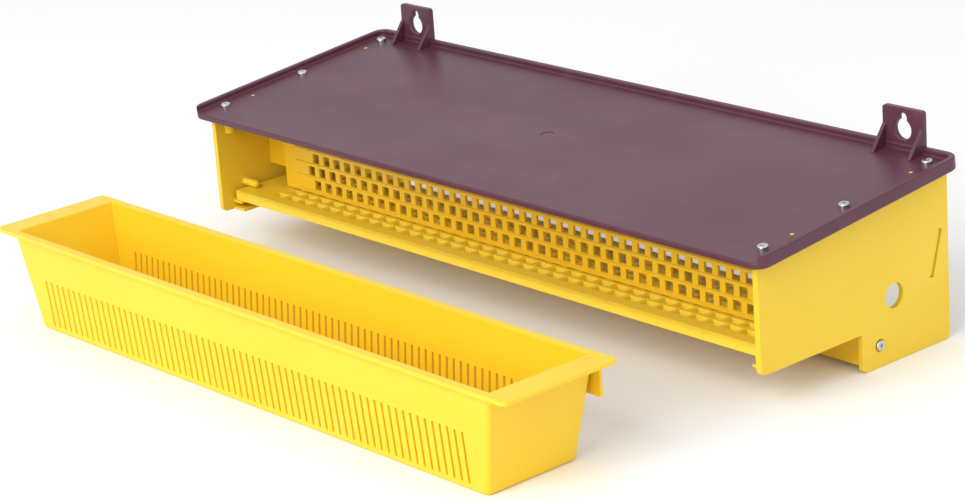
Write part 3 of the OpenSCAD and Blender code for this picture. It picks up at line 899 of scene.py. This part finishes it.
class TRAP_OT_walls(bpy.types.Operator):
    """Both side walls with their exit holes, bosses, pegs, rails, ledges, stubs and panel guides"""

    bl_idname = "trap.walls"
    bl_label = "Side walls"

    def execute(self, context):
        for side, name in ((-1, "left"), (1, "right")):
            node = f"side_wall_{name}"
            low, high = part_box(node)
            outer = high.x if side > 0 else low.x
            piece = self.plate(f"wall_{name}_moulding", low, high, side, outer)
            inner = outer - side * context.scene.trap_wall.thick
            parts = self.bosses(side) + self.ledges(side, inner)
            if side > 0:
                parts += self.guides(inner)
            join(piece, *parts)
            shade(piece)
            finish_piece(piece, material("yellow_moulding"), "yellow_plastic", node)
        return {"FINISHED"}

    def span(self, name, inner, side, width, low_y, high_y, low_z, high_z):
        """Block that stands out of the inner face by a width."""
        reach = sorted((inner + side * SUNK, inner - side * width))
        return block(name, Vector((reach[0], low_y, low_z)), Vector((reach[1], high_y, high_z)))

    def plate(self, name, low, high, side, outer):
        """Stepped plate with round lower corners, cut to the roof, with its holes."""
        wall = bpy.context.scene.trap_wall
        rounding = bpy.context.scene.trap_rounding
        inner = outer - side * wall.thick
        step, bay = high.y - wall.foot_d, self.rail_foot()
        reach = sorted((inner, outer))
        over = high.z + wall.corner
        piece = block(name, Vector((reach[0], low.y, bay)), Vector((reach[1], high.y, over)))
        edit(piece)
        bisect(piece, (0, step, 0), (0, 1, 0), anywhere)
        select_faces(piece, lambda centre, normal: normal.z < -FACING and centre.y > step)
        extrude((0, 0, -bay))
        trim_to_roof()
        corners = ((low.y, bay), (step, 0), (high.y, 0))
        bevel(
            piece,
            lambda a, b: abs(a.x - b.x) > wall.thick / 2
            and any(abs(a.y - y) + abs(a.z - z) < EXACT for y, z in corners),
            wall.corner,
            5,
        )
        round_edges(piece, rounding.wall, rounding.steps)
        across = Vector((side * wall.thick, 0, 0))
        exit_hole = Vector((inner, step + wall.exit_back, wall.exit_z))
        drill(piece, exit_hole, exit_hole + across, wall.exit_d / 2, wall.chamfer)
        screw = self.screw(side)
        hole = Vector((inner, middle(screw, Y), middle(screw, Z)))
        drill(piece, hole, hole + across, BORE_R)
        carve(piece, rod("recess", hole + across, X, wall.recess_d / 2, 2 * wall.recess_h))
        slot = baffle_block("slot", wall.slot_gap)
        slot.data.transform(Matrix.Translation((side * MM, 0, 0)))
        carve(piece, slot)
        return piece

    def screw(self, side):
        """Points of the side screw in this wall."""
        return next(g for g in loose_groups("side_screws") if side * g[0].x > 0)

    def rail_foot(self):
        """Underside of the rail and of the front part of a wall."""
        wall = bpy.context.scene.trap_wall
        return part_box("floor_grid")[0].z - wall.gap - 2 * wall.ledge_t - wall.slot_h

    def ledges(self, side, inner):
        """Rail for the tray, ledge for the floor, and the stub that holds the floor down."""
        wall = bpy.context.scene.trap_wall
        rounding = bpy.context.scene.trap_rounding
        floor_low, floor_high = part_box("floor_grid")
        foot, top = self.rail_foot(), floor_low.z - wall.gap
        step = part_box("side_wall_left")[1].y - wall.foot_d
        front, back, thick = floor_low.y, floor_high.y, wall.ledge_t
        rail = self.span("rail", inner, side, wall.rail_w, front, step + SUNK, foot, foot + thick)
        ledge = self.span("ledge", inner, side, wall.ledge_w, front, back, top - thick, top)
        for part in (rail, ledge):
            round_edges(part, rounding.wall, rounding.steps)
        reach = (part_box("side_wall_left")[0].x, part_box("side_wall_left")[1].x)
        length = reach[1] - reach[0] - wall.thick
        stub_y = front + wall.stub_back
        stub_z = floor_high.z + wall.stub_gap + wall.stub_d / 2
        centre = Vector((inner - side * (length / 2 - SUNK / 2), stub_y, stub_z))
        stub = rod("stub", centre, (-side, 0, 0), wall.stub_d / 2, length + SUNK, 24)
        end = side * inner - length + NEAR
        bevel(stub, lambda a, b: max(side * a.x, side * b.x) < end, 0.4 * wall.stub_d, 5)
        return [rail, ledge, stub]

    def bosses(self, side):
        """Screw bosses and pegs along the top of a wall."""
        wall = bpy.context.scene.trap_wall
        roof = bpy.context.scene.trap_roof
        up = roof_place().to_3x3() @ Z
        node = "roof_screws_right" if side > 0 else "roof_screws_left"
        parts = []
        for screw in loose_groups(node):
            x = middle(screw, X)
            tip = seat_matrix(screw, up).translation
            root = tip + up * (roof_place().translation.dot(up) - tip.dot(up))
            length = (root - tip).length + 3 * MM
            boss = rod("boss", root - up * length / 2, up, wall.boss_d / 2, length, 32)
            drill(boss, root - up * length, root, BORE_R)
            parts.append(boss)
        for distance in (roof.peg_front, roof.length - roof.peg_back):
            root = roof_place() @ Vector((x, distance, 0))
            tall = wall.peg_boss_h
            parts.append(rod("peg_boss", root - up * tall / 2, up, wall.boss_d / 2, tall, 32))
            centre = root + up * (roof.plate / 2 - SUNK)
            peg = rod("peg", centre, up, roof.peg_d / 2, roof.plate + 2 * SUNK, 24)
            above = root.dot(up) + roof.plate / 2
            bevel(peg, lambda a, b: min(a.dot(up), b.dot(up)) > above, wall.peg_edge, 2)
            parts.append(peg)
        return parts

    def guides(self, inner):
        """Two upright ribs that hold the end of the stripping panel."""
        wall = bpy.context.scene.trap_wall
        roof = bpy.context.scene.trap_roof
        rounding = bpy.context.scene.trap_rounding
        low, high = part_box("stripping_panel")
        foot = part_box("floor_grid")[1].z + wall.guide_low
        face = low.y + bpy.context.scene.trap_panel.ridge_t
        parts = []
        for y in (face - roof.guide_gap - roof.guide_t, high.y + roof.guide_gap):
            head = roof_at(y) - roof.guide_h - wall.gap
            rib = self.span("guide", inner, 1, wall.guide_w, y, y + roof.guide_t, foot, head)
            round_edges(rib, rounding.panel, rounding.steps)
            parts.append(rib)
        return parts


def baffle_block(name, gap=0.0):
    """The slanted baffle's block, grown by a gap all round."""
    plates = bpy.context.scene.trap_plates
    low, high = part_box("rear_baffle")
    half = Vector((high.x, plates.thick / 2, plates.baffle_w / 2)) + Vector((gap, gap, gap))
    piece = block(name, -half, half)
    turn = Matrix.Rotation(-plates.tilt, 4, "X")
    piece.data.transform(Matrix.Translation((low + high) / 2) @ turn)
    return piece


class TRAP_OT_floor(bpy.types.Operator):
    """Slotted floor with its grooved lip"""

    bl_idname = "trap.floor"
    bl_label = "Floor grid"

    def execute(self, context):
        rounding = context.scene.trap_rounding
        shape = context.scene.trap_floor
        low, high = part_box("floor_grid")
        piece = sheet("floor_moulding", Vector((low.x, low.y, high.z)), high)
        pierce(piece, self.rows(shape, low, high), (0, 1, 0))
        edit(piece)
        inner_x, front, back = high.x - shape.rim, low.y + shape.lip, high.y - shape.lip
        for place, normal in (
            ((inner_x, 0, 0), (1, 0, 0)),
            ((-inner_x, 0, 0), (1, 0, 0)),
            ((0, front, 0), (0, 1, 0)),
            ((0, back, 0), (0, 1, 0)),
        ):
            bisect(piece, place, normal, anywhere)
        bpy.ops.mesh.select_all(action="SELECT")
        extrude((0, 0, -shape.bar_t))
        outward()
        select_faces(
            piece,
            lambda centre, normal: facing_down(centre, normal)
            and (abs(centre.x) > inner_x or not front < centre.y < back),
        )
        drop = high.z - shape.bar_t - low.z
        extrude((0, 0, -drop))
        select_faces(
            piece, lambda centre, normal: normal.y < -FACING and abs(centre.y - low.y) < EXACT
        )
        bpy.ops.mesh.inset(thickness=shape.groove_edge, depth=-shape.groove_d)
        outward()
        round_edges(piece, rounding.floor, rounding.steps)
        finish_piece(piece, material("floor_moulding"), "yellow_plastic", "floor_grid")
        return {"FINISHED"}

    def rows(self, shape, low, high):
        """Rows of openings, each shifted by half a pitch from the last."""
        depth = high.y - low.y
        count = math.floor((depth - 4 * shape.lip - shape.cell_d) / shape.row) + 1
        first = low.y + (depth - (count - 1) * shape.row - shape.cell_d) / 2
        rows = []
        for number in range(count):
            start = first + number * shape.row
            shift = number % 2 * shape.pitch / 2
            starts = row_starts(
                low.x + shape.border_left, high.x - shape.border, shape.cell_w, shape.pitch, shift
            )
            rows.append((start, start + shape.cell_d, starts, shape.cell_w))
        return rows


class TRAP_OT_panel(bpy.types.Operator):
    """Stripping panel with its square bee holes and ridges"""

    bl_idname = "trap.panel"
    bl_label = "Stripping panel"

    def execute(self, context):
        rounding = context.scene.trap_rounding
        shape = context.scene.trap_panel
        low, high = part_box("stripping_panel")
        face = low.y + shape.ridge_t
        corners = Vector((low.x, face, low.z)), Vector((high.x, face, high.z))
        piece = sheet("panel_moulding", *corners, "Y")
        rows, ridges = [], []
        for number in range(shape.rows):
            foot = low.z + shape.first + number * shape.row - shape.hole / 2
            shift = (number + 1) % 2 * shape.pitch / 2
            left, right = low.x + shape.margin, high.x - shape.margin
            starts = row_starts(left, right, shape.hole, shape.pitch, shift)
            rows.append((foot, foot + shape.hole, starts, shape.hole))
            ridge_top = foot - shape.ridge_drop
            ridge = block(
                f"ridge_{number}",
                Vector((low.x + shape.margin / 2, low.y, ridge_top - shape.ridge_h)),
                Vector((high.x - shape.margin / 2, face + shape.ridge_t, ridge_top)),
            )
            ridges.append(ridge)
        pierce(piece, rows, (0, 0, 1))
        edit(piece)
        bpy.ops.mesh.select_all(action="SELECT")
        extrude((0, high.y - face, 0))
        outward()
        join(piece, *ridges)
        round_edges(piece, rounding.panel, rounding.steps)
        finish_piece(piece, material("amber_moulding"), "amber_plastic", "stripping_panel")
        return {"FINISHED"}


class TRAP_OT_plates(bpy.types.Operator):
    """Bypass plate, rear sill and slanted baffle"""

    bl_idname = "trap.plates"
    bl_label = "Inner plates"

    def execute(self, context):
        rounding = context.scene.trap_rounding
        amber, yellow = material("amber_moulding"), material("yellow_moulding")
        low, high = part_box("bypass_plate")
        bypass = block("bypass_moulding", low, high + Z * MM)
        edit(bypass)
        trim_to_roof()
        leave()
        round_edges(bypass, rounding.panel, rounding.steps)
        finish_piece(bypass, amber, "amber_plastic", "bypass_plate")
        finish_piece(self.sill(context, rounding), amber, "amber_plastic", "rear_sill")
        baffle = baffle_block("baffle_moulding")
        inset = 1 - 2 * context.scene.trap_plates.end_in / baffle.dimensions.x
        baffle.data.transform(Matrix.Scale(inset, 4, X))
        round_edges(baffle, rounding.plate, rounding.steps)
        finish_piece(baffle, yellow, "yellow_plastic", "rear_baffle")
        return {"FINISHED"}

    def sill(self, context, rounding):
        """Upright plate with a foot, and a boss on a web for each side screw."""
        plates = context.scene.trap_plates
        low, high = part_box("rear_sill")
        piece = block("sill_moulding", low, Vector((high.x, high.y, low.z + plates.thick)))
        edit(piece)
        bisect(piece, (0, low.y + plates.thick, 0), (0, 1, 0), anywhere)
        select_faces(piece, lambda centre, normal: normal.z > FACING and centre.y < low.y + plates.thick)
        extrude((0, 0, high.z - low.z - plates.thick))
        leave()
        round_edges(piece, rounding.plate, rounding.steps)
        parts = []
        for screw in loose_groups("side_screws"):
            side = math.copysign(1, screw[0].x)
            y, z = middle(screw, Y), middle(screw, Z)
            end = Vector((side * high.x, y, z))
            tail = end - Vector((side * plates.boss_l, 0, 0))
            boss = rod("boss", (end + tail) / 2, X, plates.boss_d / 2, plates.boss_l, 32)
            drill(boss, tail, end, BORE_R)
            reach = sorted((end.x, tail.x))
            web = block(
                "web",
                Vector((reach[0], y - plates.web_t / 2, low.z + SUNK)),
                Vector((reach[1], y + plates.web_t / 2, z - plates.web_drop)),
            )
            parts += [boss, web]
        join(piece, *parts)
        shade(piece)
        return piece


class TRAP_OT_tray(bpy.types.Operator):
    """Pollen tray with rounded corners, flat flanges, skirt and air slits"""

    bl_idname = "trap.tray"
    bl_label = "Pollen tray"

    def execute(self, context):
        rounding = context.scene.trap_rounding
        shape = context.scene.trap_tray
        low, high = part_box("pollen_tray")
        piece = self.tub(shape, rounding, low, high)
        self.slits(piece, shape, low)
        self.flange(piece, shape, low, high)
        wall = piece.modifiers.new("Wall", "SOLIDIFY")
        wall.thickness = shape.wall
        wall.offset = -1
        wall.use_even_offset = True
        wall.use_rim = True
        apply_all(piece)
        edit(piece)
        select_faces(
            piece, lambda centre, normal: normal.z > FACING and centre.z > high.z - shape.wall / 2
        )
        bpy.ops.transform.resize(value=(1, 1, 0), center_override=Z * high.z)
        leave()
        reach = (high.x - low.x) / 2 - shape.flange_end + shape.skirt_t
        skirt = block(
            "skirt",
            Vector((-reach, high.y - shape.skirt_t, high.z - shape.skirt_h)),
            Vector((reach, high.y - shape.skirt_in, high.z - shape.skirt_drop)),
        )
        join(piece, skirt)
        round_edges(piece, rounding.tray, rounding.steps)
        mark = Vector((high.x - shape.mark_in, high.y - shape.mark_in, high.z))
        carve(piece, rod("mark", mark, Z, shape.mark_d / 2, 2 * shape.mark_deep))
        shade(piece)
        finish_piece(piece, material("tray_moulding"), "tray_plastic", "pollen_tray")
        return {"FINISHED"}

    def tub(self, shape, rounding, low, high):
        """Open tapered shell with round corners, up to the underside of the flange."""
        inset = Vector((shape.flange_end, shape.flange_side, 0))
        top = high.z - shape.wall
        piece = block("tray_moulding", low + inset, Vector((high.x, high.y, top)) - inset)
        length, depth = piece.dimensions.x, piece.dimensions.y
        narrow = (1 - 2 * shape.end_draft / length, 1 - 2 * shape.side_draft / depth, 1)
        edit(piece)
        select_faces(piece, facing_down)
        bpy.ops.transform.resize(value=narrow)
        remove_faces(piece, lambda centre, normal: normal.z > FACING)
        bevel(piece, lambda a, b: abs(a.z - b.z) > (top - low.z) / 2, rounding.tray_corner, 4)
        bevel(piece, lambda a, b: max(a.z, b.z) < low.z + NEAR, rounding.tray_foot, 3)
        return piece

    def slits(self, piece, shape, low):
        """Upright air slits through the front and rear walls."""
        edit(piece)
        foot, head = low.z + shape.slit_low, low.z + shape.slit_high
        for reach in (foot, head):
            bisect(piece, (0, 0, reach), (0, 0, 1), anywhere)
        first = -(shape.slits - 1) / 2 * shape.slit_pitch
        starts = [
            first + number * shape.slit_pitch - shape.slit_w / 2 for number in range(shape.slits)
        ]

        def pierced(centre, normal):
            return abs(normal.y) > FACING and foot < centre.z < head

        for start in starts:
            for reach in (start, start + shape.slit_w):
                bisect(piece, (reach, 0, 0), X, pierced)
        remove_faces(
            piece,
            lambda centre, normal: pierced(centre, normal)
            and any(start < centre.x < start + shape.slit_w for start in starts),
        )
        leave()

    def flange(self, piece, shape, low, high):
        """Flat flange out from the top of the tub, with its corners rounder than the tub's."""
        edit(piece)
        top = high.z - shape.wall
        select_edges(piece, lambda a, b: min(a.z, b.z) > top - EXACT)
        span = high - low
        wide = span.x / (span.x - 2 * shape.flange_end)
        deep = span.y / (span.y - 2 * shape.flange_side)
        bpy.ops.mesh.extrude_edges_move()
        bpy.ops.transform.resize(value=(wide, deep, 1))
        leave()


class TRAP_OT_screws(bpy.types.Operator):
    """Pan head screws through the roof and into the sill, one turned differently from the next"""

    bl_idname = "trap.screws"
    bl_label = "Screws"

    def execute(self, context):
        shape = context.scene.trap_screw
        slope = roof_place().to_3x3() @ Z
        rows = (("roof_screws_left", slope), ("roof_screws_right", slope), ("side_screws", None))
        models = {}
        for node, axis in rows:
            for number, group in enumerate(loose_groups(node)):
                out = axis or Vector((math.copysign(1, group[0].x), 0, 0))
                reach = [point.dot(out) for point in group]
                length = round(max(reach) - min(reach), 4)
                if length not in models:
                    models[length] = self.model(shape, length)
                piece = copy_of(models[length], f"{node}_{number + 1}")
                more = shape.side_turn if "right" in node else 0
                turn = shape.first_turn + number * shape.next_turn + more
                piece.data.transform(seat_matrix(group, out) @ Matrix.Rotation(turn, 4, "Z"))
                finish_piece(piece, material("zinc_plating"), "screw_steel", node)
        for model in models.values():
            bpy.data.objects.remove(model)
        return {"FINISHED"}

    def model(self, shape, length):
        """Pan head screw standing on its tip at the origin: domed head, cross recess, threaded shank."""
        under = length - shape.head_h
        centre = Z * (under + shape.head_h / 2)
        head = rod("screw", centre, Z, shape.head_d / 2, shape.head_h, 40)
        bevel(head, lambda a, b: min(a.z, b.z) > length - NEAR, shape.edge, 5)
        carve(head, self.wing(shape, length, 0), self.wing(shape, length, math.pi / 2))
        join(head, self.shank(shape, under))
        pick(head)
        bpy.ops.object.shade_smooth_by_angle(angle=math.radians(35))
        return head

    def wing(self, shape, length, turn):
        """One tapered wing of the cross recess."""
        taper = 0.45
        half = Vector((shape.recess_l / 2, shape.recess_w / 2, shape.recess_d))
        wing = block("wing", -half, half)
        edit(wing)
        select_faces(wing, lambda centre, normal: normal.z < -0.5)
        bpy.ops.transform.resize(value=(taper, taper, 1))
        leave()
        wing.data.transform(Matrix.Translation((0, 0, length)) @ Matrix.Rotation(turn, 4, "Z"))
        return wing

    def shank(self, shape, top):
        """Pointed shank with a thread drawn as rings."""
        tip, root = 0.1, 0.8
        radius, point = shape.shank_d / 2, shape.point
        shank = rod("shank", Z * point / 2, Z, tip * radius, point, 16, end_radius=root * radius)
        edit(shank)
        rings = max(1, round((top - point) / (shape.thread_pitch / 2)))
        step = (top - point) / rings
        for ring in range(rings):
            reach = point + ring * step
            select_faces(
                shank, lambda centre, normal: normal.z > FACING and abs(centre.z - reach) < NEAR / 2
            )
            extrude((0, 0, step))
            grow = 1 / root if ring % 2 == 0 else root
            bpy.ops.transform.resize(value=(grow, grow, 1))
        leave()
        return shank


# ---------------------------------------------------------------- stage


class TRAP_OT_stage(bpy.types.Operator):
    """Pale floor, soft studio lights and the camera"""

    bl_idname = "trap.stage"
    bl_label = "Stage"

    def execute(self, context):
        stage = context.scene.trap_stage
        low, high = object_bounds()
        centre = (low + high) / 2
        self.add_floor(stage, centre, low.z - CLEAR)
        self.add_sky(context.scene, stage)
        front, right = Vector((0.25, -1.45, 0.95)), Vector((1.5, 0.1, 0.8))
        self.add_light("key_light", centre + front, centre, 1.5, stage.key)
        self.add_light("side_light", centre + right, centre, 1.0, stage.side)
        self.add_camera(context.scene, stage)
        context.scene.view_settings.view_transform = "Standard"
        return {"FINISHED"}

    def add_floor(self, stage, centre, height):
        deselect()
        bpy.ops.mesh.primitive_plane_add(size=12, location=(centre.x, centre.y, height))
        floor = bpy.context.view_layer.objects.active
        floor.name = "studio_floor"
        tree = Tree("floor_paper")
        cloud = tree.noise(tree.place(), 3.0)
        dim = rgba(tuple(c * 0.985 for c in stage.floor))
        tree.set(Base_Color=tree.mix(cloud, rgba(stage.floor), dim), Roughness=0.9)
        tree.set(Specular_IOR_Level=0.2)
        floor.data.materials.append(tree.material)
        floor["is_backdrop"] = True

    def add_sky(self, scene, stage):
        world = bpy.data.worlds.new("studio")
        world.use_nodes = True
        background = world.node_tree.nodes["Background"]
        background.inputs["Color"].default_value = (1, 1, 1, 1)
        background.inputs["Strength"].default_value = stage.sky
        scene.world = world

    def add_light(self, name, place, target, size, power):
        deselect()
        bpy.ops.object.light_add(type="AREA", location=place)
        light = bpy.context.view_layer.objects.active
        light.name = name
        light.rotation_euler = (target - place).to_track_quat("-Z", "Y").to_euler()
        light.data.shape = "DISK"
        light.data.size = size
        light.data.energy = power

    def add_camera(self, scene, stage):
        deselect()
        bpy.ops.object.camera_add()
        camera = bpy.context.view_layer.objects.active
        camera.matrix_world = (
            Matrix.Translation(stage.camera_place)
            @ Matrix.Rotation(stage.azimuth, 4, "Z")
            @ Matrix.Rotation(math.pi / 2 - stage.elevation, 4, "X")
            @ Matrix.Rotation(stage.roll, 4, "Z")
        )
        camera.data.sensor_width = 36
        camera.data.lens = stage.lens
        camera.data.shift_x = stage.shift_x
        camera.data.shift_y = stage.shift_y
        camera.data.clip_start = 0.05
        scene.camera = camera


class TRAP_PT_panel(bpy.types.Panel):
    """Lists the trap's pieces, sizes and finishes"""

    bl_idname = "TRAP_PT_panel"
    bl_label = "Pollen trap"
    bl_space_type = "VIEW_3D"
    bl_region_type = "UI"
    bl_category = "Pollen trap"

    def draw(self, context):
        layout = self.layout
        for operator in PIECES:
            layout.operator(operator.bl_idname)
        for name, group in SETTINGS.items():
            box = layout.box()
            box.label(text=group.__doc__)
            for prop in group.__annotations__:
                box.prop(getattr(context.scene, name), prop)


SETTINGS = {
    "trap_rounding": TrapRounding,
    "trap_roof": TrapRoof,
    "trap_wall": TrapWall,
    "trap_plates": TrapPlates,
    "trap_panel": TrapPanel,
    "trap_floor": TrapFloor,
    "trap_tray": TrapTray,
    "trap_screw": TrapScrew,
    "trap_finish": TrapFinish,
    "trap_stage": TrapStage,
}
PIECES = (
    TRAP_OT_roof,
    TRAP_OT_walls,
    TRAP_OT_floor,
    TRAP_OT_panel,
    TRAP_OT_plates,
    TRAP_OT_tray,
    TRAP_OT_screws,
    TRAP_OT_stage,
)
CLASSES = (*SETTINGS.values(), *PIECES, TRAP_PT_panel)


def register():
    for cls in CLASSES:
        bpy.utils.register_class(cls)
    for name, group in SETTINGS.items():
        setattr(bpy.types.Scene, name, PointerProperty(type=group))


def unregister():
    for name in SETTINGS:
        delattr(bpy.types.Scene, name)
    for cls in reversed(CLASSES):
        bpy.utils.unregister_class(cls)


def main():
    """Builds every piece and the stage."""
    register()
    for name in ("roof", "walls", "floor", "panel", "plates", "tray", "screws", "stage"):
        getattr(bpy.ops.trap, name)()


if __name__ == "__main__":
    main()
